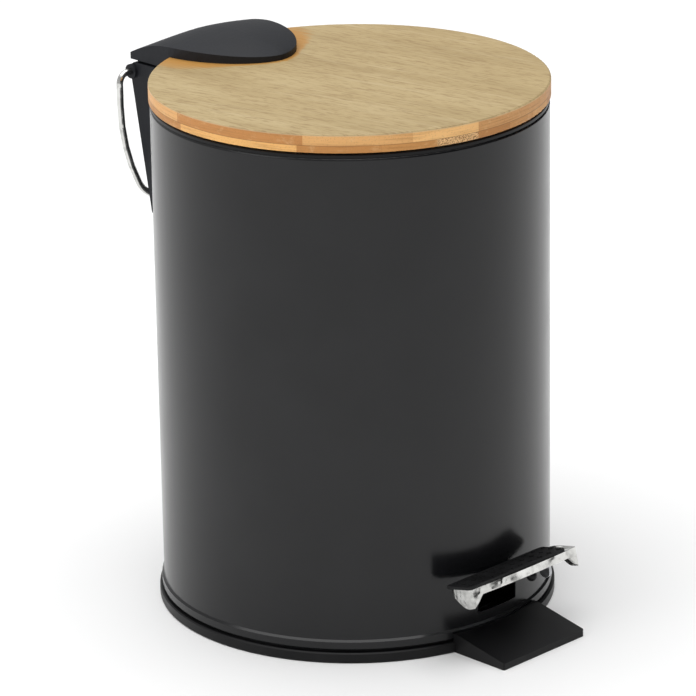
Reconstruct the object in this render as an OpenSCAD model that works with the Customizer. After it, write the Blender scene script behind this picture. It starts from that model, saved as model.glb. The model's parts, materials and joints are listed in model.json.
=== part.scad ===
// Round pedal bin with a bamboo lid, a rear hinge tower and a removable inner bucket.
// Millimetres. The can's axis is the Z axis and the floor is z = 0.
// The pedal faces -Y and the lid hinge is at +Y.

/* [Body] */
// Outer radius of the steel body
body_r = 84.5; // [84:0.1:85]
// Thickness of the steel body wall
shell_wall = 0.8; // [0.6:0.1:1]
// Height of the top edge of the steel body
shell_top = 221.2; // [221:0.1:221.5]
// Outer radius of the plastic base ring
ring_r = 86.5; // [86:0.1:88]
// Height of the visible band of the base ring
ring_h = 4.7; // [4:0.1:5]

/* [Foot tab] */
// Width of the tab that stops the bin tipping forwards
tab_w = 50; // [40:1:56]
// Distance from the can's axis to the front of the tab
tab_reach = 111; // [104:1:116]
// Height of the tab's front edge
tab_front_h = 3.1; // [2.5:0.1:4]
// Height of the tab where it meets the body
tab_rear_h = 8.3; // [7:0.1:9]

/* [Lid] */
// Radius of the bamboo lid
lid_r = 85; // [84.6:0.1:85.4]
// Thickness of the bamboo lid
lid_t = 8; // [7:0.5:9]
// Gap between the body's rim ring and the lid
lid_gap = 0.6; // [0.4:0.1:0.8]

/* [Hinge] */
// Distance from the can's axis to the lid's pivot
pivot_y = 103; // [102:0.5:104]
// Height of the lid's pivot
pivot_z = 221; // [220:0.5:221.5]
// Half width of the hinge cap
cap_half_w = 29.8; // [29.5:0.1:31.5]
// Half width of the hinge tower
tower_half_w = 30; // [29.5:0.5:30.5]
// Height of the bottom of the hinge tower
tower_bottom = 157.5; // [150:0.5:160]
// Radius of the steel hinge pin
pin_r = 1.5; // [1.4:0.1:1.6]

/* [Carry handle] */
// Radius of the handle wire
handle_wire_r = 1.5; // [1.2:0.1:1.6]
// Half width of the handle at its widest
handle_half_w = 37.5; // [37:0.5:40]
// Length of the straight stretch below each shoulder
handle_straight = 9.5; // [6:0.5:12]

/* [Inner bucket] */
// Outer radius of the bucket at its mouth
bucket_top_r = 76; // [72:0.5:76]
// Outer radius of the bucket at its floor
bucket_floor_r = 70; // [60:0.5:72]
// Height of the underside of the bucket
bucket_bottom = 36; // [36:1:60]
// Thickness of the bucket wall
bucket_wall = 1.6; // [1.2:0.1:2]

/* [Pedal] */
// Distance from the lever's axle to the front edge of the pedal
pedal_reach = 88.3; // [87:0.1:90]
// Half width of the pedal
pedal_half_w = 33; // [30:1:34]
// Depth of the pedal, front to back
pedal_depth = 15.3; // [13:0.1:15.3]
// Upward tilt of the lever at rest
lever_tilt = 13.1; // [12.5:0.1:13.5]

/* [Hidden] */
$fn = 96;

plastic_black = [0.10, 0.10, 0.11];
body_grey = [0.20, 0.21, 0.22];
steel = [0.75, 0.76, 0.78];
bamboo = [0.84, 0.74, 0.55];
rubber = [0.05, 0.05, 0.05];
eps = 0.01;
// Sides of a bent wire, and the angle between its rings round a bend
wire_sides = 16;
bend_step = 7.5;

// Base ring and bottom plate
ring_inner_r = 76;
ring_neck_r = 83.6;
ring_neck_top = 12;
shell_bottom = ring_h + 1;
plate_z = 3;
plate_t = 0.8;
plate_r = 81.7;
floor_z = plate_z + plate_t;
hem_out = 0.9;
hem_h = 4.3;

// Body and rim
shell_in_r = body_r - shell_wall;
rim_top = shell_top + 1.7;
rim_skirt_out = shell_in_r - 0.7;
rim_skirt_in = rim_skirt_out - 1.8;
ledge_top = 216;
ledge_in_r = 77.5;
lid_bottom = rim_top + lid_gap;
lid_top = lid_bottom + lid_t;
liner_r = 73;
liner_t = 1.4;
liner_screw_circle = 60;
liner_screw_angles = [-90, 30, 150];
rod_slot_half_w = 3.2;
rod_slot_z = [174, 207];
lever_slot_half_w = 11.7;
lever_slot_z = [14.3, 31.8];

// Bucket
bucket_rim_r = 80.4;
bucket_rim_t = 2;
bucket_top = ledge_top + bucket_rim_t;
bail_wire_r = 1.1;
bail_z = bucket_top + 1.6;
bail_r = 76.6;
bail_ear_x = [78.4, 80.2];

// Hinge cap
cap_front_y = 40;
cap_wide_y = 80;
cap_tail_y = 105;
cap_skirt_bottom = 226;
cap_tail_half_w = 29;
cap_dome_h = 3.6;
cap_shape = 1.8;
nose_h = 2.4;
crease_peak_y = 76;
crease_peak_h = 4.4;
crease_fall = 7;
dome_peak_y = 66;
tail_dome_h = 0.8;
cap_front_steps = 18;
cap_rear_steps = 10;
cap_cavity_h = 2;
knuckle_half_w = 26.7;
knuckle_r = 3.3;
horn_r = 15;
horn_angle = 37.2;
horn_tip_r = 2.5;
horn_arm_half_t = 1.5;
horn_half_w = 3.5;
cap_screw_at = [15, 66];

// Hinge tower
tower_wall = 2.2;
tower_top = 225;
tower_foot_y = 93.3;
tower_rear_y = pivot_y + 0.7;
tower_back_top = 215.5;
tower_bend_z = 218.6;
tower_edge = 1.5;
boss_r = 3.2;
boss_half_w = 31.2;
pin_half_l = 28.7;
bore_r = pin_r + 0.05;
tower_screws = [[-12, 205], [12, 205], [-12, 166], [12, 166]];

// Carry handle: shoulder bend, long side bend and corner bend of each half
shoulder_r = 4.5;
side_r = 78;
side_turn = 28.5;
corner_r = 14.6;
handle_pin_x = pin_half_l + 0.3;
handle_pin_l = handle_half_w - shoulder_r - handle_pin_x;
handle_side_in = side_r * (1 - cos(side_turn));
handle_corner_in = corner_r * cos(side_turn);
handle_flat = handle_half_w - handle_side_in - handle_corner_in;

// Push rod
rod_r = 1.75;
rod_y = 78;
rod_top_y = 90;
rod_lean = 40;
rod_elbow_r = 5;
rod_crank_z = 174;
rod_top = 208.8;
rod_foot_r = 3;
push_gap = 0.6;
guide_bore_r = rod_r + 0.3;
guide_z = [52, 150];
guide_h = 7;
guide_half_w = 5;

// Pedal lever
axle_y = -15;
axle_z = 16;
axle_r = 1.5;
strip_t = 2;
strip_top = -1.3;
strip_bottom = strip_top - strip_t;
front_half_w = 11;
rear_half_w = 5;
rear_drop = 4.8;
rear_reach = 95;
lever_ear_x = [9, 11];
bracket_ear_x = [12.2, 14.2];
rod_foot_z = axle_z - (rod_y - axle_y) * tan(rear_drop) + strip_top + rod_foot_r + push_gap;

// Pedal
pedal_t = 1.3;
pedal_lip = 3.4;
pedal_bow_r = 363;
pedal_corner_r = 4;
pad_t = 1.3;
pad_x = [-33.6, 26];
ear_depth = 8.5;
ear_back = 4.1;
ear_rear_l = 10.4;
ear_front_l = 5.4;
rivet_xs = [-8, 8];
rivet_y = -(pedal_reach - 9);
rivet_r = 1.5;
peg_at = [13.8, -76.3];
peg_l = 8;
peg_r = 1.5;

// Stations [x, z, heading] of a route in the XZ plane that starts along +Z.
// A step [length, 0] is straight, and a step [radius, angle] is a bend towards +X,
// or towards -X where the angle is negative.
function bent_route(steps, x = 0, z = 0, heading = 0, i = 0) =
    i == len(steps) ? [[x, z, heading]]
    : let (size = steps[i][0], turn = steps[i][1], s = sign(turn) * size)
        turn == 0
        ? concat([[x, z, heading]],
            bent_route(steps, x + size * sin(heading), z + size * cos(heading), heading, i + 1))
        : let (
            count = max(2, ceil(abs(turn) / bend_step)),
            cx = x + s * cos(heading),
            cz = z - s * sin(heading),
            arc = [for (k = [0 : count]) let (a = heading + turn * k / count)
                [cx - s * cos(a), cz + s * sin(a), a]]
        )
        concat([for (k = [0 : count - 1]) arc[k]],
            bent_route(steps, arc[count][0], arc[count][1], heading + turn, i + 1));

// Round wire along such a route
module bent_wire(steps, r) {
    route = bent_route(steps);
    n = wire_sides;
    count = len(route);
    points = [for (p = route) for (k = [0 : n - 1]) let (a = 360 * k / n)
        [p[0] + r * cos(a) * cos(p[2]), r * sin(a), p[1] - r * cos(a) * sin(p[2])]];
    faces = concat(
        [for (i = [0 : count - 2]) for (k = [0 : n - 1]) let (m = (k + 1) % n)
            [i * n + k, (i + 1) * n + k, (i + 1) * n + m, i * n + m]],
        [[for (k = [0 : n - 1]) k]],
        [[for (k = [n - 1 : -1 : 0]) (count - 1) * n + k]]
    );
    polyhedron(points = points, faces = faces, convexity = 4);
}

// Cylinder along X, centred on X = 0
module x_rod(r, half_l) {
    rotate([0, 90, 0]) cylinder(r = r, h = 2 * half_l, center = true);
}

// Plate with rounded corners, its centre on the Z axis and its underside at z = 0
module rounded_plate(w, d, r, h) {
    linear_extrude(height = h) {
        square([w - 2 * r, d], center = true);
        square([w, d - 2 * r], center = true);
        for (sx = [-1, 1], sy = [-1, 1]) translate([sx * (w / 2 - r), sy * (d / 2 - r)]) circle(r = r);
    }
}

// Outline in the YZ plane, given as [y, z] points, drawn out along X
module x_extrude(points, half_w) {
    translate([half_w, 0, 0]) rotate([90, 0, -90]) mirror([1, 0, 0])
        linear_extrude(height = 2 * half_w) polygon(points);
}

// Frame of the lever's front arm: the axle is the origin and the arm runs along -Y
module on_front_arm() {
    translate([0, axle_y, axle_z]) rotate([-lever_tilt, 0, 0]) children();
}

module base_ring() {
    color(plastic_black) {
        rotate_extrude() polygon([
            [ring_inner_r, 1.2], [ring_inner_r + 2, 0], [ring_r - 0.6, 0], [ring_r, 0.6],
            [ring_r, ring_h - 0.5], [ring_r - 0.5, ring_h], [ring_neck_r + 0.5, ring_h],
            [ring_neck_r + 0.5, shell_bottom], [ring_neck_r, shell_bottom],
            [ring_neck_r, ring_neck_top], [plate_r, ring_neck_top], [plate_r, plate_z],
            [ring_inner_r, plate_z]
        ]);
        foot_tab();
    }
}

// Ramp at the front of the base ring
module foot_tab() {
    corner = 0.8;
    difference() {
        intersection() {
            x_extrude([
                [-tab_reach, 0], [-tab_reach, tab_front_h], [-body_r, tab_rear_h], [-80, tab_rear_h], [-80, 0]
            ], tab_w / 2);
            translate([0, -tab_reach + 20, -1]) rounded_plate(tab_w, 40, corner, 20);
        }
        translate([0, 0, ring_h]) cylinder(r = body_r + hem_out + 0.2, h = 20);
        translate([0, 0, -1]) cylinder(r = ring_r - 2, h = 20);
    }
}

module bottom_plate() {
    color(steel) difference() {
        rotate_extrude() polygon([
            [0, plate_z - 1], [ring_inner_r - 12, plate_z - 1], [ring_inner_r - 10, plate_z],
            [plate_r - 0.1, plate_z], [plate_r - 0.1, floor_z], [ring_inner_r - 10.4, floor_z],
            [ring_inner_r - 12.4, floor_z - 1], [0, floor_z - 1]
        ]);
        at_axle_rivets() cylinder(r = 1.3, h = 10, center = true);
    }
}

// Steel tube with a folded hem at the foot and a rounded shoulder at the top
module outer_shell() {
    shoulder = 1;
    color(body_grey) difference() {
        rotate_extrude() {
            translate([shell_in_r, shell_bottom]) square([shell_wall, shell_top - shell_bottom - shoulder]);
            polygon([
                [shell_in_r, shell_bottom], [body_r + hem_out - 0.3, shell_bottom],
                [body_r + hem_out, shell_bottom + 0.5], [body_r + hem_out, shell_bottom + hem_h - 0.8],
                [body_r, shell_bottom + hem_h], [shell_in_r, shell_bottom + hem_h]
            ]);
            intersection() {
                translate([body_r - shoulder, shell_top - shoulder]) circle(r = shoulder);
                translate([rim_skirt_out + 0.1, shell_top - shoulder]) square([3, shoulder]);
            }
        }
        translate([-lever_slot_half_w, -body_r - 3, lever_slot_z[0]])
            cube([2 * lever_slot_half_w, 20, lever_slot_z[1] - lever_slot_z[0]]);
        translate([-rod_slot_half_w, body_r - 10, rod_slot_z[0]])
            cube([2 * rod_slot_half_w, 20, rod_slot_z[1] - rod_slot_z[0]]);
        for (at = tower_screws) translate([at[0], 90, at[1]]) rotate([90, 0, 0]) cylinder(r = 1.7, h = 20);
    }
}

// Plastic ring that finishes the mouth and carries the inner bucket
module rim_ring() {
    color(plastic_black) rotate_extrude() polygon([
        [ledge_in_r, ledge_top - 1.5], [rim_skirt_in, ledge_top - 1.5], [rim_skirt_in, ledge_top - 4],
        [rim_skirt_out, ledge_top - 4], [rim_skirt_out, shell_top], [body_r - 0.3, shell_top],
        [body_r - 0.3, rim_top - 0.5], [body_r - 0.8, rim_top], [rim_skirt_in, rim_top],
        [rim_skirt_in, ledge_top], [ledge_in_r, ledge_top]
    ]);
}

// Small soft stops between the rim and the lid
module lid_bumpers() {
    color(rubber) for (a = [-150, -90, -30]) rotate([0, 0, a])
        translate([(rim_skirt_in + body_r - 0.8) / 2, 0, rim_top]) cylinder(r = 1.1, h = lid_gap - 0.2);
}

module inner_bucket() {
    draft = bucket_top_r - bucket_floor_r;
    color(plastic_black) difference() {
        union() {
            rotate_extrude() polygon([
                [0, bucket_bottom], [bucket_floor_r, bucket_bottom], [bucket_top_r, ledge_top],
                [bucket_rim_r, ledge_top], [bucket_rim_r, bucket_top],
                [bucket_top_r - bucket_wall, bucket_top],
                [bucket_top_r - bucket_wall, ledge_top],
                [bucket_top_r - bucket_wall - draft, bucket_bottom + bucket_wall],
                [0, bucket_bottom + bucket_wall]
            ]);
            for (side = [-1, 1]) bail_ear(side);
        }
        translate([0, 0, bail_z]) x_rod(bail_wire_r + 0.15, bucket_rim_r + 5);
    }
}

// Upright ear on the bucket's rim that one end of the bail hooks into
module bail_ear(side) {
    inner = side > 0 ? bail_ear_x[0] : -bail_ear_x[1];
    translate([inner, -3, bucket_top - eps]) cube([bail_ear_x[1] - bail_ear_x[0], 6, 3.4]);
}

// Wire bail of the bucket, folded down onto the front half of its rim
module bucket_bail() {
    elbow = 2.2;
    end_l = bail_ear_x[1] - bail_r - elbow;
    color(steel) translate([bail_ear_x[1], 0, bail_z]) rotate([0, -90, 0]) rotate([0, 0, -90])
        bent_wire([[end_l, 0], [elbow, -90], [bail_r, 180], [elbow, -90], [end_l, 0]], bail_wire_r);
}

// Bamboo disc with softened edges
module lid_board() {
    soft = 0.7;
    color(bamboo) difference() {
        rotate_extrude() {
            translate([0, lid_bottom]) square([lid_r - soft, lid_t]);
            translate([0, lid_bottom + soft]) square([lid_r, lid_t - 2 * soft]);
            for (z = [lid_bottom + soft, lid_top - soft]) translate([lid_r - soft, z]) circle(r = soft);
        }
        for (side = [-1, 1]) translate([side * cap_screw_at[0], cap_screw_at[1], lid_bottom - 1]) {
            cylinder(r = 1.7, h = lid_t + 2);
            cylinder(r = 3.4, h = 3.2);
        }
        at_liner_screws() translate([0, 0, -1]) cylinder(r = 1.3, h = 6);
    }
}

// Places on the lid's underside for the three screws of the liner
module at_liner_screws() {
    for (a = liner_screw_angles) rotate([0, 0, a]) translate([liner_screw_circle, 0, lid_bottom]) children();
}

// Thin plastic disc under the bamboo
module lid_liner() {
    color(plastic_black) difference() {
        translate([0, 0, lid_bottom - liner_t]) cylinder(r = liner_r, h = liner_t);
        for (side = [-1, 1]) translate([side * cap_screw_at[0], cap_screw_at[1], lid_bottom - 3])
            cylinder(r = 4, h = 4);
        at_liner_screws() translate([0, 0, -3]) cylinder(r = 1.7, h = 4);
    }
}

// Pan head screw pointing up, its head's underside at z = 0
module screw_up(head_r, head_h, shank_r, shank_l) {
    translate([0, 0, -head_h]) cylinder(r = head_r, h = head_h);
    cylinder(r = shank_r, h = shank_l);
}

module lid_screws() {
    color(steel) at_liner_screws() translate([0, 0, -liner_t]) screw_up(2.6, 1.1, 1.25, 6);
}

module cap_screws() {
    color(steel) for (side = [-1, 1])
        translate([side * cap_screw_at[0], cap_screw_at[1], lid_bottom + 2.2]) screw_up(3, 1.8, 1.5, 8.5);
}

// Half width of the cap at a given distance from the can's axis
function cap_half_at(y) =
    let (ahead = (cap_wide_y - y) / (cap_wide_y - cap_front_y))
    y < cap_wide_y ? cap_half_w * pow(max(0, 1 - pow(ahead, cap_shape)), 1 / cap_shape)
    : cap_half_w + (cap_tail_half_w - cap_half_w) * (y - cap_wide_y) / (cap_tail_y - cap_wide_y);

// Height of the cap's crease, where its flat sides meet its domed top
function crease_z(y) =
    let (rise = sin(90 * (y - cap_front_y) / (crease_peak_y - cap_front_y)))
    y < crease_peak_y ? lid_top + nose_h + (crease_peak_h - nose_h) * rise
    : lid_top + crease_peak_h - crease_fall * pow((y - crease_peak_y) / (cap_tail_y - crease_peak_y), 2.2);

// Height that the dome adds above the crease along the middle of the cap
function dome_h(y) =
    let (rise = max(0, sin(90 * (y - cap_front_y) / (dome_peak_y - cap_front_y))))
    y < dome_peak_y ? cap_dome_h * pow(rise, 0.75)
    : cap_dome_h - (cap_dome_h - tail_dome_h) * pow((y - dome_peak_y) / (cap_tail_y - dome_peak_y), 2);

// Position of the cap's cross-section i, closer together at the rounded front
function cap_station(i) =
    i <= cap_front_steps ? cap_wide_y - (cap_wide_y - cap_front_y - 0.02) * cos(90 * i / cap_front_steps)
    : cap_wide_y + (cap_tail_y - cap_wide_y) * (i - cap_front_steps) / cap_rear_steps;

// Outline of the cap as [x, y] points, shrunk by "inset" at its sides
function cap_outline(inset, last) = concat(
    [for (i = [0 : last]) let (y = cap_station(i)) [max(0.1, cap_half_at(y) - inset), y]],
    [for (i = [last : -1 : 0]) let (y = cap_station(i)) [-max(0.1, cap_half_at(y) - inset), y]]
);

// Solid under the cap's domed top, down to the lower edge of its sides
module cap_block() {
    last = cap_front_steps + cap_rear_steps;
    across = 7;
    n = 2 * across + 1;
    function top_point(i, j) =
        let (y = cap_station(i), u = j / across)
        [u * cap_half_at(y), y, crease_z(y) + dome_h(y) * (1 - pow(abs(u), 1.6))];
    points = concat(
        [for (i = [0 : last]) for (j = [-across : across]) top_point(i, j)],
        [for (i = [0 : last]) for (j = [-across : across]) let (p = top_point(i, j))
            [p[0], p[1], cap_skirt_bottom]]
    );
    low = n * (last + 1);
    // Corner numbers of the quad between stations i and i + 1, columns j and j + 1
    function quad(i, j) = [i * n + j, (i + 1) * n + j, (i + 1) * n + j + 1, i * n + j + 1];
    function lower(q) = [for (k = [3 : -1 : 0]) low + q[k]];
    // Wall between the upper edge a-b and the lower edge below it
    function wall(a, b) = [a, b, low + b, low + a];
    faces = concat(
        [for (i = [0 : last - 1]) for (j = [0 : n - 2]) let (q = quad(i, j)) [q[0], q[1], q[2]]],
        [for (i = [0 : last - 1]) for (j = [0 : n - 2]) let (q = quad(i, j)) [q[0], q[2], q[3]]],
        [for (i = [0 : last - 1]) for (j = [0 : n - 2]) lower(quad(i, j))],
        [for (j = [0 : n - 2]) wall(j, j + 1)],
        [for (j = [0 : n - 2]) wall(last * n + j + 1, last * n + j)],
        [for (i = [0 : last - 1]) wall((i + 1) * n, i * n)],
        [for (i = [0 : last - 1]) wall(i * n + n - 1, (i + 1) * n + n - 1)]
    );
    polyhedron(points = points, faces = faces, convexity = 6);
}

// Arm on the knuckle that the push rod lifts from below
module cap_horn() {
    translate([0, pivot_y, pivot_z]) rotate([horn_angle, 0, 0]) {
        translate([-horn_half_w, -horn_r, -horn_arm_half_t])
            cube([2 * horn_half_w, horn_r, 2 * horn_arm_half_t]);
        translate([0, -horn_r, 0]) x_rod(horn_tip_r, horn_half_w);
    }
}

module hinge_cap() {
    web_y = [pivot_y - 2.7, pivot_y];
    color(plastic_black) difference() {
        union() {
            difference() {
                cap_block();
                cylinder(r = lid_r + 0.05, h = lid_top);
                linear_extrude(height = lid_top + cap_cavity_h)
                    polygon(cap_outline(3, cap_front_steps));
                translate([-knuckle_half_w - 0.6, 82, cap_skirt_bottom - 1])
                    cube([2 * knuckle_half_w + 1.2, 20, 4]);
            }
            for (side = [-1, 1]) translate([side * cap_screw_at[0], cap_screw_at[1], lid_top])
                cylinder(r = 4, h = cap_cavity_h + 1);
            translate([-knuckle_half_w, web_y[0], pivot_z])
                cube([2 * knuckle_half_w, web_y[1] - web_y[0], cap_skirt_bottom + 3.3 - pivot_z]);
            translate([0, pivot_y, pivot_z]) x_rod(knuckle_r, knuckle_half_w);
            cap_horn();
        }
        translate([0, pivot_y, pivot_z]) x_rod(bore_r, 40);
        for (side = [-1, 1]) translate([side * cap_screw_at[0], cap_screw_at[1], lid_top - 1])
            cylinder(r = 1.5, h = 4.4);
    }
}

module hinge_bracket() {
    foot = tower_foot_y;
    rear = tower_rear_y;
    slope = (rear - foot) / (tower_bend_z - tower_bottom);
    inner_low = tower_bottom + tower_wall;
    inner_half_w = tower_half_w - 3;
    color(plastic_black) difference() {
        union() {
            difference() {
                x_extrude([
                    [60, tower_bottom], [foot - tower_edge, tower_bottom], [foot, tower_bottom + tower_edge],
                    [rear, tower_bend_z], [rear, tower_top - tower_edge], [rear - tower_edge, tower_top],
                    [60, tower_top]
                ], tower_half_w);
                x_extrude([
                    [60, inner_low], [foot - tower_wall, inner_low],
                    [foot - tower_wall + slope * (tower_back_top - inner_low), tower_back_top],
                    [rear + 9, tower_back_top], [rear + 9, tower_top + 5], [60, tower_top + 5]
                ], inner_half_w);
            }
            for (at = tower_screws) translate([at[0], 60, at[1]]) rotate([-90, 0, 0])
                cylinder(r = 3.5, h = foot + slope * (at[1] - tower_bottom) - 61);
            for (side = [-1, 1]) translate([side * (inner_half_w + boss_half_w) / 2, pivot_y, pivot_z])
                x_rod(boss_r, (boss_half_w - inner_half_w) / 2);
        }
        translate([0, 0, 100]) cylinder(r = body_r + 0.02, h = 200);
        translate([0, 0, shell_top - 1.5]) cylinder(r = lid_r + 1, h = 20);
        translate([0, pivot_y, pivot_z]) x_rod(bore_r, 40);
        for (at = tower_screws) translate([at[0], 60, at[1]]) rotate([-90, 0, 0]) cylinder(r = 1.3, h = 32);
    }
}

module bracket_screws() {
    color(steel) for (at = tower_screws) translate([at[0], 82.1, at[1]]) rotate([-90, 0, 0])
        screw_up(3, 1.8, 1.25, 9.5);
}

module hinge_pin() {
    color(steel) translate([0, pivot_y, pivot_z]) x_rod(pin_r, pin_half_l);
}

// Wire handle: out of one boss, down, round the grip and back up into the other boss
module carry_handle() {
    half = [[shoulder_r, 90], [handle_straight, 0], [side_r, side_turn], [corner_r, 90 - side_turn]];
    // The ends are a little thinner than the wire and run a little way into it
    pin_l = handle_pin_l + 0.5;
    color(steel) {
        for (side = [-1, 1]) translate([side * (handle_pin_x + pin_l / 2), pivot_y, pivot_z])
            x_rod(handle_wire_r - 0.04, pin_l / 2);
        translate([handle_pin_x + handle_pin_l, pivot_y, pivot_z]) rotate([0, 90, 0])
            bent_wire(concat(half, [[2 * handle_flat, 0]], [for (i = [3 : -1 : 0]) half[i]]), handle_wire_r);
    }
}

module push_rod() {
    step_out = rod_top_y - rod_y - 2 * rod_elbow_r * (1 - cos(rod_lean));
    lean_l = step_out / sin(rod_lean);
    upper_z = rod_crank_z + 2 * rod_elbow_r * sin(rod_lean) + lean_l * cos(rod_lean);
    color(steel) translate([0, rod_y, rod_foot_z + 0.5]) rotate([0, 0, 90])
        bent_wire([
            [rod_crank_z - rod_foot_z - 0.5, 0], [rod_elbow_r, rod_lean], [lean_l, 0],
            [rod_elbow_r, -rod_lean], [rod_top - upper_z, 0]
        ], rod_r);
}

module rod_foot() {
    color(plastic_black) translate([0, rod_y, rod_foot_z]) difference() {
        union() {
            sphere(r = rod_foot_r);
            cylinder(r = rod_foot_r, h = 7);
        }
        translate([0, 0, 0.4]) cylinder(r = rod_r + 0.05, h = 10);
    }
}

module rod_guides() {
    color(plastic_black) for (z = guide_z) translate([0, 0, z]) difference() {
        intersection() {
            union() {
                translate([0, rod_y, 0]) cylinder(r = 3.5, h = guide_h);
                translate([-guide_half_w, rod_y + 0.4, 0]) cube([2 * guide_half_w, 10, guide_h]);
            }
            cylinder(r = shell_in_r - 0.02, h = 100);
        }
        translate([0, rod_y, -1]) cylinder(r = guide_bore_r, h = guide_h + 2);
    }
}

module pedal_lever() {
    tongue_x = [15.5, 17];
    tongue_y = -82.6;
    tongue_r = 3;
    tongue_drop = 6;
    color(steel) difference() {
        union() {
            on_front_arm() {
                translate([-front_half_w, -pedal_reach + 3.5, strip_bottom])
                    cube([2 * front_half_w, pedal_reach + 1, strip_t]);
                for (side = [0, 1]) mirror([side, 0, 0]) {
                    translate([lever_ear_x[0], -4.5, strip_bottom])
                        cube([lever_ear_x[1] - lever_ear_x[0], 9, -strip_bottom]);
                    translate([(lever_ear_x[0] + lever_ear_x[1]) / 2, 0, 0])
                        x_rod(4.5, (lever_ear_x[1] - lever_ear_x[0]) / 2);
                }
                // Side tongue with a rounded end, folded down beside the arm
                translate([front_half_w - 1, tongue_y - tongue_r, strip_bottom])
                    cube([tongue_x[1] - front_half_w + 1, 2 * tongue_r, strip_t]);
                translate([tongue_x[0], tongue_y - tongue_r, -tongue_drop])
                    cube([tongue_x[1] - tongue_x[0], 2 * tongue_r, tongue_drop + strip_top]);
                translate([(tongue_x[0] + tongue_x[1]) / 2, tongue_y, -tongue_drop])
                    x_rod(tongue_r, (tongue_x[1] - tongue_x[0]) / 2);
            }
            translate([0, axle_y, axle_z]) rotate([-rear_drop, 0, 0])
                translate([-rear_half_w, -2, strip_bottom]) cube([2 * rear_half_w, rear_reach + 2, strip_t]);
        }
        translate([0, axle_y, axle_z]) x_rod(axle_r + 0.05, 40);
        on_front_arm() for (x = rivet_xs) translate([x, rivet_y, -10]) cylinder(r = rivet_r + 0.05, h = 10);
    }
}

module lever_axle() {
    color(steel) translate([0, axle_y, axle_z]) x_rod(axle_r, bracket_ear_x[1] + 0.5);
}

module axle_bracket() {
    base_z = floor_z - 1;
    ear_r = 5;
    color(steel) difference() {
        union() {
            translate([-bracket_ear_x[1], axle_y - 8, base_z]) cube([2 * bracket_ear_x[1], 16, 1.6]);
            for (side = [0, 1]) mirror([side, 0, 0]) {
                translate([bracket_ear_x[0], axle_y - ear_r, base_z])
                    cube([bracket_ear_x[1] - bracket_ear_x[0], 2 * ear_r, axle_z - base_z]);
                translate([(bracket_ear_x[0] + bracket_ear_x[1]) / 2, axle_y, axle_z])
                    x_rod(ear_r, (bracket_ear_x[1] - bracket_ear_x[0]) / 2);
            }
        }
        translate([0, axle_y, axle_z]) x_rod(axle_r + 0.02, 40);
        at_axle_rivets() cylinder(r = 1.3, h = 10, center = true);
    }
}

// Places for the four rivets of the axle bracket
module at_axle_rivets() {
    for (sx = [-1, 1], sy = [-1, 1]) translate([8.5 * sx, axle_y + 5 * sy, floor_z - 0.5]) children();
}

module axle_bracket_rivets() {
    color(steel) at_axle_rivets() {
        translate([0, 0, 1.1]) cylinder(r = 2.2, h = 0.8);
        translate([0, 0, -1.3]) cylinder(r = 1.25, h = 2.4);
        translate([0, 0, -1.9]) cylinder(r = 2.1, h = 0.6);
    }
}

// Slab with the pedal's outline, inset on the front and the sides, its top at z = 0
module pedal_slab(inset, h, extra_back) {
    depth = pedal_depth - inset + extra_back;
    translate([0, 0, -h]) intersection() {
        translate([0, -pedal_reach + inset + depth / 2, 0])
            rounded_plate(2 * (pedal_half_w - inset), depth, pedal_corner_r - inset, h);
        translate([0, -pedal_reach + pedal_bow_r, 0]) cylinder(r = pedal_bow_r - inset, h = h, $fn = 720);
    }
}

// Height of the lower edge of the pedal's wall beside an ear, "u" of the ear's half width
// away from its lowest point and "least" deep where the ear has run out
function ear_edge(u, least) = -least - (ear_depth - least) * pow(0.5 + 0.5 * cos(180 * min(1, abs(u))), 0.6);

// Wall of the pedal: a shallow lip in front and an ear round each front corner
module pedal_wall() {
    low = -ear_depth - 2;
    front = -pedal_reach;
    steps = 10;
    turn_u = 0.26;
    face_cut = 4.5;
    flank = [for (i = [0 : steps]) let (u = i / steps)
        [front + ear_back + u * ear_rear_l, ear_edge(u, pedal_t)]];
    face = [for (i = [0 : steps]) let (u = turn_u + (1 - turn_u) * i / steps)
        [pedal_half_w - 1 - ear_front_l * i / steps, ear_edge(u, pedal_lip)]];
    difference() {
        pedal_slab(0, ear_depth, 0);
        translate([0, 0, -pedal_t]) pedal_slab(pedal_t, ear_depth, 10);
        x_extrude(concat([[front - 2, low], [front - 2, ear_edge(turn_u, pedal_t)]], flank,
            [[front + pedal_depth + 2, -pedal_t], [front + pedal_depth + 2, low]]), pedal_half_w + 2);
        translate([0, front + face_cut, 0]) rotate([90, 0, 0]) linear_extrude(height = face_cut + 2)
            polygon(concat(face, [for (i = [steps : -1 : 0]) [-face[i][0], face[i][1]]],
                [[-face[0][0], low], [face[0][0], low]]));
    }
}

module pedal_plate() {
    color(steel) on_front_arm() difference() {
        pedal_wall();
        for (x = rivet_xs) translate([x, rivet_y, -5]) cylinder(r = rivet_r + 0.05, h = 10);
        translate([peg_at[0], peg_at[1], -5]) cylinder(r = peg_r + 0.1, h = 10);
    }
}

// Rubber tread with anti-slip studs and the peg that holds its loose end
module pedal_pad() {
    stud_gap = 6;
    color(rubber) on_front_arm() {
        translate([(pad_x[0] + pad_x[1]) / 2, -pedal_reach + 0.9 + (pedal_depth - 0.6) / 2, 0])
            rounded_plate(pad_x[1] - pad_x[0], pedal_depth - 0.6, 2, pad_t);
        for (x = [pad_x[0] + 3.6 : stud_gap : pad_x[1] - 2], row = [0 : 2])
            translate([x, -pedal_reach + 3.6 + 4.7 * row, pad_t - eps]) cylinder(r = 1, h = 0.4);
        translate([peg_at[0], peg_at[1], -peg_l]) {
            cylinder(r = peg_r, h = peg_l + eps);
            sphere(r = peg_r + 0.8);
        }
    }
}

module pedal_rivets() {
    color(steel) on_front_arm() for (x = rivet_xs) translate([x, rivet_y, strip_bottom - 1]) {
        cylinder(r = 2.8, h = 1);
        cylinder(r = rivet_r, h = 1 - strip_bottom);
    }
}

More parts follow.
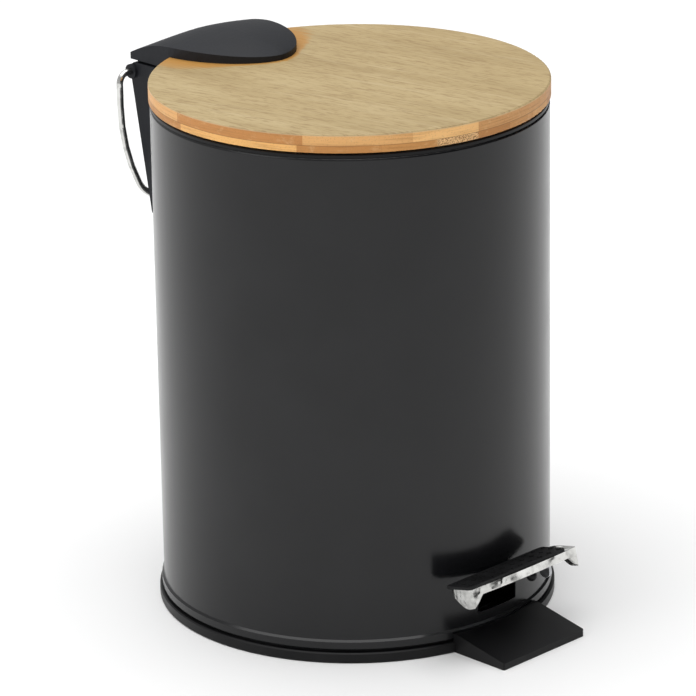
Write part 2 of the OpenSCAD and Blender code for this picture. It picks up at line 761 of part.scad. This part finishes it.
base_ring();
bottom_plate();
outer_shell();
rim_ring();
lid_bumpers();
inner_bucket();
bucket_bail();
lid_board();
lid_liner();
lid_screws();
hinge_cap();
cap_screws();
hinge_bracket();
bracket_screws();
hinge_pin();
carry_handle();
push_rod();
rod_foot();
rod_guides();
pedal_lever();
lever_axle();
axle_bracket();
axle_bracket_rivets();
pedal_plate();
pedal_pad();
pedal_rivets();
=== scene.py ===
import json
import math

import bpy
from mathutils import Matrix, Vector


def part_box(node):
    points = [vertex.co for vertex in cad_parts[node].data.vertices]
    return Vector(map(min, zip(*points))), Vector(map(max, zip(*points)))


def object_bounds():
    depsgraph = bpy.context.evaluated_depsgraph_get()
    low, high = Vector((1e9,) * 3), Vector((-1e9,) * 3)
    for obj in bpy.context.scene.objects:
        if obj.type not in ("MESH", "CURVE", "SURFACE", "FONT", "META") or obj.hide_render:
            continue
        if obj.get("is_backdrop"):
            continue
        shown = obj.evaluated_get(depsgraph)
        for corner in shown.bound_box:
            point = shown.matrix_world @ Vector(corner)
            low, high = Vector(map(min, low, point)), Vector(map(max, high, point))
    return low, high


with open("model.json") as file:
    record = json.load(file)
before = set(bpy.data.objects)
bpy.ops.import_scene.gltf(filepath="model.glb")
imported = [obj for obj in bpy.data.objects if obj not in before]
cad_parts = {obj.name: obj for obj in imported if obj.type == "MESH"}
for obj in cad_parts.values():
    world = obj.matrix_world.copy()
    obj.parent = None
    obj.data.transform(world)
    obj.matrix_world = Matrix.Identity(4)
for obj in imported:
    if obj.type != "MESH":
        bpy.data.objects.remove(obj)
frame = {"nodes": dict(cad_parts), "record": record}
NODES = frame["nodes"]
MM = 0.001


def plain_bounds(found):
    if isinstance(found, dict):
        return {key: plain_bounds(value) for key, value in found.items()}
    if isinstance(found, (list, tuple, Vector)):
        return [plain_bounds(value) for value in found]
    return found


BOUNDS_AT_LOAD = plain_bounds(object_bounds())


# ---------------------------------------------------------------- camera

CAMERA_AZIMUTH = math.radians(-45)
CAMERA_DISTANCE = 1.897
CAMERA_ELEVATION = math.radians(22.68)
CAMERA_PITCH = math.radians(19.54)
CAMERA_YAW = math.radians(-0.08)
CAMERA_ROLL = math.radians(0.93)
CAMERA_LENS = 222.98
CAMERA_SENSOR = 36
CAMERA_CLIP = (0.05, 50)


def make_camera():
    """Camera in front of the pedal, turned as a whole round the can to the photograph's side."""
    reach = CAMERA_DISTANCE * math.cos(CAMERA_ELEVATION)
    place = Vector((0, -reach, CAMERA_DISTANCE * math.sin(CAMERA_ELEVATION)))
    ahead = Vector(
        (
            math.sin(CAMERA_YAW) * math.cos(CAMERA_PITCH),
            math.cos(CAMERA_YAW) * math.cos(CAMERA_PITCH),
            -math.sin(CAMERA_PITCH),
        )
    )
    level = Vector((math.cos(CAMERA_YAW), -math.sin(CAMERA_YAW), 0))
    below = ahead.cross(level)
    right = math.cos(CAMERA_ROLL) * level + math.sin(CAMERA_ROLL) * below
    down = math.cos(CAMERA_ROLL) * below - math.sin(CAMERA_ROLL) * level
    turn = Matrix.Rotation(CAMERA_AZIMUTH, 3, "Z")
    axes = [turn @ axis for axis in (right, -down, -ahead)]
    data = bpy.data.cameras.new("camera")
    data.lens = CAMERA_LENS
    data.sensor_width = CAMERA_SENSOR
    data.clip_start, data.clip_end = CAMERA_CLIP
    camera = bpy.data.objects.new("camera", data)
    bpy.context.scene.collection.objects.link(camera)
    camera.matrix_world = Matrix.Translation(turn @ place) @ Matrix(axes).transposed().to_4x4()
    bpy.context.scene.camera = camera


make_camera()


# ---------------------------------------------------------------- shader helpers


class Look:
    """One procedural material: a Principled shader and the textures that feed it."""

    # a Mix node keeps its colour sockets at these numbers
    MIX_FIRST = 6
    MIX_SECOND = 7
    MIX_RESULT = 2

    def __init__(self, name, **sockets):
        self.material = bpy.data.materials.new(name)
        self.material.use_nodes = True
        self.tree = self.material.node_tree
        self.shader = self.tree.nodes["Principled BSDF"]
        for socket, value in sockets.items():
            self.shader.inputs[socket.replace("_", " ")].default_value = value
        self.place = self.node("ShaderNodeTexCoord").outputs["Object"]

    def node(self, kind, **settings):
        made = self.tree.nodes.new(kind)
        for setting, value in settings.items():
            setattr(made, setting, value)
        return made

    def plug(self, value, socket):
        """Links a socket, or sets a number, a vector or a colour."""
        if isinstance(value, bpy.types.NodeSocket):
            self.tree.links.new(value, socket)
        elif socket.type == "RGBA":
            socket.default_value = (*value, 1)
        else:
            socket.default_value = value

    def feed(self, **sockets):
        for socket, value in sockets.items():
            self.plug(value, self.shader.inputs[socket.replace("_", " ")])

    def mapped(self, scale, turn=(0, 0, 0), source=None):
        made = self.node("ShaderNodeMapping")
        self.plug(source or self.place, made.inputs["Vector"])
        made.inputs["Scale"].default_value = scale
        made.inputs["Rotation"].default_value = turn
        return made.outputs["Vector"]

    def noise(self, vector, scale=1, detail=3, rough=0.5):
        made = self.node("ShaderNodeTexNoise")
        self.plug(vector, made.inputs["Vector"])
        made.inputs["Scale"].default_value = scale
        made.inputs["Detail"].default_value = detail
        made.inputs["Roughness"].default_value = rough
        return made.outputs["Fac"]

    def cells(self, vector, scale):
        """Distance from the middle of the nearest random cell."""
        made = self.node("ShaderNodeTexVoronoi")
        self.plug(vector, made.inputs["Vector"])
        made.inputs["Scale"].default_value = scale
        return made.outputs["Distance"]

    def lot(self, number):
        """Random value, the same wherever the number is the same."""
        made = self.node("ShaderNodeTexWhiteNoise", noise_dimensions="1D")
        self.plug(number, made.inputs["W"])
        return made.outputs["Value"]

    def ramp(self, factor, *stops):
        """Colour that runs through the stops, each a place from 0 to 1 and a colour."""
        made = self.node("ShaderNodeValToRGB")
        self.plug(factor, made.inputs["Fac"])
        elements = made.color_ramp.elements
        while len(elements) < len(stops):
            elements.new(0.5)
        for element, (at, colour) in zip(elements, stops):
            element.position = at
            element.color = (*colour, 1)
        return made.outputs["Color"]

    def span(self, value, low, high, to_low=0.0, to_high=1.0, smooth=False):
        """The value's place between low and high, clamped, as a number from to_low to to_high."""
        made = self.node("ShaderNodeMapRange")
        if smooth:
            made.interpolation_type = "SMOOTHSTEP"
        self.plug(value, made.inputs["Value"])
        made.inputs["From Min"].default_value = low
        made.inputs["From Max"].default_value = high
        made.inputs["To Min"].default_value = to_low
        made.inputs["To Max"].default_value = to_high
        return made.outputs["Result"]

    def calc(self, operation, first, second=0.0):
        made = self.node("ShaderNodeMath", operation=operation)
        self.plug(first, made.inputs[0])
        self.plug(second, made.inputs[1])
        return made.outputs["Value"]

    def mix(self, factor, first, second):
        made = self.node("ShaderNodeMix", data_type="RGBA")
        self.plug(factor, made.inputs["Factor"])
        self.plug(first, made.inputs[self.MIX_FIRST])
        self.plug(second, made.inputs[self.MIX_SECOND])
        return made.outputs[self.MIX_RESULT]

    def axes(self, vector=None):
        made = self.node("ShaderNodeSeparateXYZ")
        self.plug(vector or self.place, made.inputs["Vector"])
        return made.outputs["X"], made.outputs["Y"], made.outputs["Z"]

    def bump(self, height, strength, depth, under=None):
        made = self.node("ShaderNodeBump")
        made.inputs["Strength"].default_value = strength
        made.inputs["Distance"].default_value = depth
        self.plug(height, made.inputs["Height"])
        if under is not None:
            self.plug(under, made.inputs["Normal"])
        return made.outputs["Normal"]


def wear(node, look):
    """Puts a finished look on a CAD node."""
    mesh = NODES[node].data
    mesh.materials.clear()
    mesh.materials.append(look.material)


WELD_GAP = 0.002 * MM
BEVEL_SEGMENTS = 3


def soften(node, width, angle=30):
    """Rounds a node's edges that turn by more than the angle, in degrees."""
    weld = NODES[node].modifiers.new("weld", "WELD")
    weld.merge_threshold = WELD_GAP
    bevel = NODES[node].modifiers.new("bevel", "BEVEL")
    bevel.width = width
    bevel.segments = BEVEL_SEGMENTS
    bevel.limit_method = "ANGLE"
    bevel.angle_limit = math.radians(angle)
    bevel.harden_normals = True


# ---------------------------------------------------------------- looks


def powder_coat():
    """Glossy black coat with a fine orange peel and a faint cloud in its gloss."""
    look = Look("powder_coat", Specular_IOR_Level=0.36)
    dark = (0.0052, 0.0054, 0.0062)
    pale = (0.0085, 0.0088, 0.0098)
    peel = look.noise(look.place, scale=2600)
    cloud = look.noise(look.place, scale=38, detail=4)
    look.feed(Base_Color=look.ramp(cloud, (0.3, dark), (0.72, pale)))
    look.feed(Roughness=look.span(cloud, 0.25, 0.75, to_low=0.16, to_high=0.23))
    look.feed(Normal=look.bump(peel, strength=0.06, depth=0.08 * MM))
    return look


def base_plastic():
    """Black moulded plastic of the base ring, duller than the coat."""
    look = Look("base_plastic", Specular_IOR_Level=0.2)
    dark = (0.0045, 0.0045, 0.005)
    pale = (0.0085, 0.0085, 0.0092)
    cloud = look.noise(look.place, scale=60, detail=4)
    grain = look.noise(look.place, scale=1800, detail=2)
    look.feed(Base_Color=look.ramp(cloud, (0.3, dark), (0.75, pale)))
    look.feed(Roughness=look.span(cloud, 0.25, 0.75, to_low=0.34, to_high=0.46))
    look.feed(Normal=look.bump(grain, strength=0.14, depth=0.1 * MM))
    return look


def hinge_plastic():
    """Blue-black plastic of the cap and the tower, with a fine dull grain."""
    look = Look("hinge_plastic", Specular_IOR_Level=0.2)
    mottle_dark = (0.008, 0.0088, 0.0112)
    mottle_pale = (0.017, 0.0187, 0.0228)
    speck_dark = (0.004, 0.0045, 0.006)
    speck_pale = (0.028, 0.030, 0.036)
    mottle = look.noise(look.place, scale=55, detail=5, rough=0.62)
    speck = look.noise(look.place, scale=1500, rough=0.6)
    mottled = look.ramp(mottle, (0.3, mottle_dark), (0.75, mottle_pale))
    specked = look.ramp(speck, (0.3, speck_dark), (0.72, speck_pale))
    look.feed(Base_Color=look.mix(0.3, mottled, specked))
    look.feed(Roughness=look.span(mottle, 0.25, 0.8, to_low=0.46, to_high=0.6))
    look.feed(Normal=look.bump(speck, strength=0.22, depth=0.12 * MM))
    return look


def inner_plastic():
    """Dark plastic of the parts inside the can, with fine level scuff lines."""
    look = Look("inner_plastic", Specular_IOR_Level=0.4)
    dark = (0.012, 0.012, 0.013)
    pale = (0.022, 0.022, 0.024)
    cloud = look.noise(look.place, scale=45, detail=4)
    scuff = look.noise(look.mapped((30, 30, 900)), detail=4, rough=0.6)
    look.feed(Base_Color=look.ramp(cloud, (0.3, dark), (0.75, pale)))
    look.feed(Roughness=look.span(scuff, 0.2, 0.8, to_low=0.36, to_high=0.54))
    look.feed(Normal=look.bump(scuff, strength=0.12, depth=0.1 * MM))
    return look


RUBBER_DARKEST = 0.7
RUBBER_PALEST = 1.5
RUBBER_ROUGHNESS_SPREAD = 0.08


def rubber(name, tone, roughness):
    """Grained rubber whose tone and dullness vary a little about the given ones."""
    look = Look(name, Specular_IOR_Level=0.3)
    dark = tuple(RUBBER_DARKEST * part for part in tone)
    pale = tuple(RUBBER_PALEST * part for part in tone)
    glossiest = roughness - RUBBER_ROUGHNESS_SPREAD
    dullest = roughness + RUBBER_ROUGHNESS_SPREAD
    cloud = look.noise(look.place, scale=120, detail=4)
    grain = look.noise(look.place, scale=2200)
    look.feed(Base_Color=look.ramp(cloud, (0.3, dark), (0.75, pale)))
    look.feed(Roughness=look.span(cloud, 0.25, 0.75, to_low=glossiest, to_high=dullest))
    look.feed(Normal=look.bump(grain, strength=0.3, depth=0.1 * MM))
    return look


def chrome():
    """Wavy chrome with clouds that are duller, and darker in colour as painted dark reflections."""
    look = Look("chrome", Metallic=1.0)
    dull = (0.50, 0.50, 0.48)
    bright = (0.76, 0.76, 0.74)
    painted_dark_reflection = (0.22, 0.22, 0.21)
    tint = look.noise(look.place, scale=90, detail=4, rough=0.6)
    wave = look.noise(look.place, scale=120, detail=2)
    cloud = look.noise(look.place, scale=170, rough=0.55)
    tone = look.ramp(tint, (0.3, dull), (0.7, bright))
    # Painted reflection: dark clouds mixed into the colour stand for dark surroundings reflected in
    # the chrome.
    tone = look.mix(look.span(cloud, 0.50, 0.66, to_high=0.5), tone, painted_dark_reflection)
    look.feed(Base_Color=tone)
    look.feed(Roughness=look.span(cloud, 0.35, 0.65, to_low=0.05, to_high=0.18))
    look.feed(Normal=look.bump(wave, strength=0.6, depth=0.9 * MM))
    return look


def zinc_steel():
    """Zinc-plated steel, brushed in one direction."""
    look = Look("zinc_steel", Metallic=1.0)
    dark = (0.42, 0.43, 0.45)
    pale = (0.63, 0.64, 0.66)
    cloud = look.noise(look.place, scale=110, detail=5, rough=0.6)
    brush = look.noise(look.mapped((2600, 60, 60)))
    look.feed(Base_Color=look.ramp(cloud, (0.25, dark), (0.78, pale)))
    look.feed(Roughness=look.span(cloud, 0.25, 0.75, to_low=0.24, to_high=0.42))
    look.feed(Normal=look.bump(brush, strength=0.12, depth=0.05 * MM))
    return look


# ---------------------------------------------------------------- bamboo

GRAIN_TURN = math.radians(-10)
STRIP_WIDTH = 21 * MM

# Outline of the hinge cap on the lid: straight behind CAP_WIDE_Y, a rounded nose up to CAP_FRONT_Y
CAP_FRONT_Y = 40 * MM
CAP_WIDE_Y = 80 * MM
CAP_SHAPE = 1.8
# Painted shade: the orange-brown band of shade on the wood round the hinge cap starts to widen at the
# first Y below and is widest at the second.
CAP_SHADE_FROM_Y = 42 * MM
CAP_SHADE_FULL_Y = 68 * MM

# Strips of the two plies that end at the lid's edge: the upper ply has a joint at UPPER_JOINT, and the
# strip of the lower ply that starts at LOWER_JOINT shows its end grain in front
UPPER_JOINT = -24.9 * MM
UPPER_STRIP = 27 * MM
UPPER_LOT = 7.0
LOWER_JOINT = -43.2 * MM
LOWER_STRIP = 18.3 * MM
LOWER_LOT = 40.0
LOWER_PLY_SHARE = 0.4
END_GRAIN_Y = (-60 * MM, -62 * MM)

# The face grain gives way to the edge grain just below the board's top, with a pale line between them
BRIM_DEPTH = 0.6 * MM
BRIM_HALF_WIDTH = 0.4 * MM
TOP_BLEND_DEPTH = (0.75 * MM, 0.35 * MM)


def cap_reach(look):
    """1 on the outline of the hinge cap, less inside it and more outside it."""
    half_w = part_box("hinge_cap")[1].x
    x, y = look.axes()[:2]
    across = look.calc("POWER", look.calc("ABSOLUTE", look.calc("DIVIDE", x, half_w)), CAP_SHAPE)
    before = look.calc("DIVIDE", look.calc("SUBTRACT", CAP_WIDE_Y, y), CAP_WIDE_Y - CAP_FRONT_Y)
    ahead = look.calc("MAXIMUM", before, 0.0)
    return look.calc("ADD", across, look.calc("POWER", ahead, CAP_SHAPE))


def strip_number(look, across_strips, joint, width):
    """Whole number of the strip, 0 for the one that starts at the joint."""
    return look.calc("FLOOR", look.calc("DIVIDE", look.calc("SUBTRACT", across_strips, joint), width))


def painted_cap_shade_share(look, fibres):
    """Share of painted shade round the cap: the wood turns orange-brown in a band that narrows towards
    the cap's nose.
    """
    beyond = look.calc("SUBTRACT", cap_reach(look), 1.0)
    band = look.span(look.axes()[1], CAP_SHADE_FROM_Y, CAP_SHADE_FULL_Y, 0.14, 1.15, smooth=True)
    ragged = look.span(fibres, 0.3, 0.7, to_low=-0.25, to_high=0.25)
    depth = look.calc("ADD", look.calc("DIVIDE", beyond, band), ragged)
    return look.span(depth, 1.0, 0.35, to_high=0.8, smooth=True)


def bamboo_top(look, grain_place, across_strips):
    """Pale face grain: patches, strips, short dark dashes and long fibres."""
    patch_dark = (0.355, 0.258, 0.118)
    patch_mid = (0.425, 0.318, 0.155)
    patch_pale = (0.475, 0.367, 0.190)
    strip_tone = (0.40, 0.29, 0.135)
    dash_tone = (0.27, 0.18, 0.078)
    fibre_pale = (0.60, 0.50, 0.32)
    fibre_dark = (0.33, 0.23, 0.11)
    # Orange-brown painted shade for the wood round the hinge cap
    painted_shade_amber = (0.44, 0.20, 0.03)
    dashes = look.noise(look.mapped((1450, 150, 300), source=grain_place), rough=0.55)
    fibres = look.noise(look.mapped((700, 18, 300), source=grain_place), detail=4, rough=0.62)
    patches = look.noise(look.mapped((60, 11, 20), source=grain_place), rough=0.55)
    strip = look.lot(look.calc("FLOOR", look.calc("DIVIDE", across_strips, STRIP_WIDTH)))
    tone = look.ramp(patches, (0.28, patch_dark), (0.5, patch_mid), (0.74, patch_pale))
    tone = look.mix(look.span(strip, 0, 1, to_high=0.2), tone, strip_tone)
    tone = look.mix(look.span(dashes, 0.51, 0.64, to_high=0.7), tone, dash_tone)
    tone = look.mix(look.span(fibres, 0.56, 0.75, to_high=0.45), tone, fibre_pale)
    tone = look.mix(look.span(fibres, 0.44, 0.28, to_high=0.4), tone, fibre_dark)
    # The face grain round the hinge cap takes on the orange-brown painted shade.
    return look.mix(painted_cap_shade_share(look, fibres), tone, painted_shade_amber), dashes


def edge_strips(look, across_strips, is_upper, lower):
    """Tone of each strip in the two plies, redder beyond the upper ply's joint."""
    lower_dark, lower_pale = (0.50, 0.215, 0.058), (0.92, 0.51, 0.17)
    upper_dark, upper_pale = (0.56, 0.25, 0.075), (0.98, 0.58, 0.23)
    redder_tone = (0.42, 0.17, 0.058)
    joint_half = 0.2 * MM
    upper = strip_number(look, across_strips, UPPER_JOINT, UPPER_STRIP)
    upper_lot = look.lot(look.calc("ADD", upper, UPPER_LOT))
    lower_lot = look.lot(look.calc("ADD", lower, LOWER_LOT))
    tone = look.mix(
        is_upper,
        look.ramp(lower_lot, (0, lower_dark), (1, lower_pale)),
        look.ramp(upper_lot, (0, upper_dark), (1, upper_pale)),
    )
    redder = look.span(across_strips, UPPER_JOINT - joint_half, UPPER_JOINT + joint_half, to_high=0.38)
    return look.mix(redder, tone, redder_tone)


def end_grain(look, tone, is_upper, lower):
    """Dark and pale specks where one strip of the lower ply ends in front."""
    speck_dark, speck_pale = (0.24, 0.105, 0.03), (0.95, 0.62, 0.30)
    specks = look.noise(look.place, scale=2100, detail=2, rough=0.6)
    in_front = look.span(look.axes()[1], *END_GRAIN_Y)
    is_below = look.calc("SUBTRACT", 1.0, is_upper)
    is_strip = look.calc("COMPARE", lower, 0.0)
    is_end = look.calc("MULTIPLY", is_strip, look.calc("MULTIPLY", in_front, is_below))
    specked = look.ramp(specks, (0.42, speck_dark), (0.56, speck_pale))
    return look.mix(look.calc("MULTIPLY", is_end, 0.85), tone, specked)


def bamboo_edge(look, across_strips, z, ply_joint):
    """Warm edge grain of two plies, with level lines, blots, pores and the dark seam between them."""
    line_tone = (0.36, 0.155, 0.04)
    blot_tone = (0.80, 0.52, 0.25)
    pore_tone = (0.26, 0.10, 0.028)
    seam_tone = (0.17, 0.07, 0.02)
    seam_half = 0.25 * MM
    ply_blend = 0.05 * MM
    is_upper = look.span(z, ply_joint - ply_blend, ply_joint + ply_blend)
    lower = strip_number(look, across_strips, LOWER_JOINT, LOWER_STRIP)
    tone = edge_strips(look, across_strips, is_upper, lower)
    lines = look.noise(look.mapped((45, 45, 1300)), detail=4, rough=0.62)
    blots = look.noise(look.mapped((260, 260, 420)), detail=4, rough=0.6)
    pores = look.cells(look.place, scale=1100)
    tone = look.mix(look.span(lines, 0.48, 0.72, to_high=0.5), tone, line_tone)
    tone = look.mix(look.span(blots, 0.55, 0.75, to_high=0.4), tone, blot_tone)
    tone = look.mix(look.span(pores, 0.0, 0.4, to_low=0.3, to_high=0), tone, pore_tone)
    tone = end_grain(look, tone, is_upper, lower)
    seam = look.calc("ABSOLUTE", look.calc("SUBTRACT", z, ply_joint))
    return look.mix(look.span(seam, 0.0, seam_half, 0.6, 0, smooth=True), tone, seam_tone), lines


def bamboo():
    """Bamboo board: pale face grain on top, warm plies at the edge and a pale line at the brim."""
    look = Look("bamboo", Specular_IOR_Level=0.3)
    brim_tone = (0.66, 0.53, 0.34)
    low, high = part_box("lid_board")
    ply_joint = low.z + LOWER_PLY_SHARE * (high.z - low.z)
    grain_place = look.mapped((1, 1, 1), turn=(0, 0, GRAIN_TURN))
    across_strips = look.axes(grain_place)[0]
    z = look.axes()[2]
    top, dashes = bamboo_top(look, grain_place, across_strips)
    edge, lines = bamboo_edge(look, across_strips, z, ply_joint)
    blend_low, blend_high = (high.z - depth for depth in TOP_BLEND_DEPTH)
    on_top = look.span(z, blend_low, blend_high, smooth=True)
    from_brim = look.calc("ABSOLUTE", look.calc("SUBTRACT", z, high.z - BRIM_DEPTH))
    brim = look.span(from_brim, 0.0, BRIM_HALF_WIDTH, 0.4, 0, smooth=True)
    look.feed(Base_Color=look.mix(brim, look.mix(on_top, edge, top), brim_tone))
    look.feed(Roughness=look.span(dashes, 0.3, 0.7, to_low=0.42, to_high=0.6))
    line_bump = look.bump(lines, strength=0.05, depth=0.1 * MM)
    look.feed(Normal=look.bump(dashes, strength=0.16, depth=0.12 * MM, under=line_bump))
    return look


# ---------------------------------------------------------------- dressing the CAD nodes

LOOKS = {
    "powder_coat": powder_coat(),
    "base_plastic": base_plastic(),
    "hinge_plastic": hinge_plastic(),
    "inner_plastic": inner_plastic(),
    "rubber": rubber("rubber", (0.012, 0.012, 0.012), roughness=0.7),
    "pad_rubber": rubber("pad_rubber", (0.006, 0.006, 0.0065), roughness=0.55),
    "bamboo": bamboo(),
    "chrome": chrome(),
    "zinc_steel": zinc_steel(),
}

for part in frame["record"]["subparts"]:
    wear(part["node"], LOOKS[part["material_slot"]])

soften("hinge_cap", 0.45 * MM, angle=38)
soften("hinge_bracket", 0.3 * MM)


# ---------------------------------------------------------------- set: floor and studio light

FLOOR_HALF = 4.0
FLOOR_DARKEST = (0.93, 0.93, 0.93)
FLOOR_PALEST = (0.95, 0.95, 0.95)

# The studio is pale, and fades to dark towards the front right
STUDIO_DARK_SIDE = (0.80, -0.60, -0.35)
STUDIO_PALE = (0.95, 0.95, 0.95)
STUDIO_DARK = (0.06, 0.06, 0.06)
STUDIO_DARK_FROM = 0.45
STUDIO_STRENGTH = 0.6
LIGHTS_AIM = (0, 0, 0.1)


def make_floor():
    mesh = bpy.data.meshes.new("floor")
    half = FLOOR_HALF
    corners = [(-half, -half, 0), (half, -half, 0), (half, half, 0), (-half, half, 0)]
    mesh.from_pydata(corners, [], [(0, 1, 2, 3)])
    floor = bpy.data.objects.new("floor", mesh)
    bpy.context.scene.collection.objects.link(floor)
    look = Look("floor_paint", Roughness=0.9, Specular_IOR_Level=0.0)
    cloud = look.noise(look.place, scale=3, detail=2)
    look.feed(Base_Color=look.ramp(cloud, (0.3, FLOOR_DARKEST), (0.8, FLOOR_PALEST)))
    mesh.materials.append(look.material)
    floor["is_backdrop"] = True


def make_studio():
    world = bpy.data.worlds.new("studio")
    bpy.context.scene.world = world
    world.use_nodes = True
    tree = world.node_tree
    place = tree.nodes.new("ShaderNodeTexCoord").outputs["Generated"]
    dot = tree.nodes.new("ShaderNodeVectorMath")
    dot.operation = "DOT_PRODUCT"
    dot.inputs[1].default_value = STUDIO_DARK_SIDE
    ramp = tree.nodes.new("ShaderNodeValToRGB")
    pale, dark = ramp.color_ramp.elements
    pale.position = 0.0
    pale.color = (*STUDIO_PALE, 1)
    dark.position = STUDIO_DARK_FROM
    dark.color = (*STUDIO_DARK, 1)
    back = tree.nodes["Background"]
    back.inputs["Strength"].default_value = STUDIO_STRENGTH
    tree.links.new(place, dot.inputs[0])
    tree.links.new(dot.outputs["Value"], ramp.inputs["Fac"])
    tree.links.new(ramp.outputs["Color"], back.inputs["Color"])


def area_light(name, place, size, watts):
    data = bpy.data.lights.new(name, "AREA")
    data.shape = "SQUARE"
    data.size = size
    data.energy = watts
    lamp = bpy.data.objects.new(name, data)
    bpy.context.scene.collection.objects.link(lamp)
    lamp.location = place
    lamp.rotation_euler = (Vector(LIGHTS_AIM) - Vector(place)).to_track_quat("-Z", "Y").to_euler()


make_floor()
make_studio()
area_light("overhead_box", (0.0, 0.1, 2.7), size=3.4, watts=84)
area_light("left_box", (-2.2, 0.4, 1.1), size=1.2, watts=6)
bpy.context.scene.view_settings.view_transform = "Standard"

{"before": BOUNDS_AT_LOAD, "after": plain_bounds(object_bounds())}
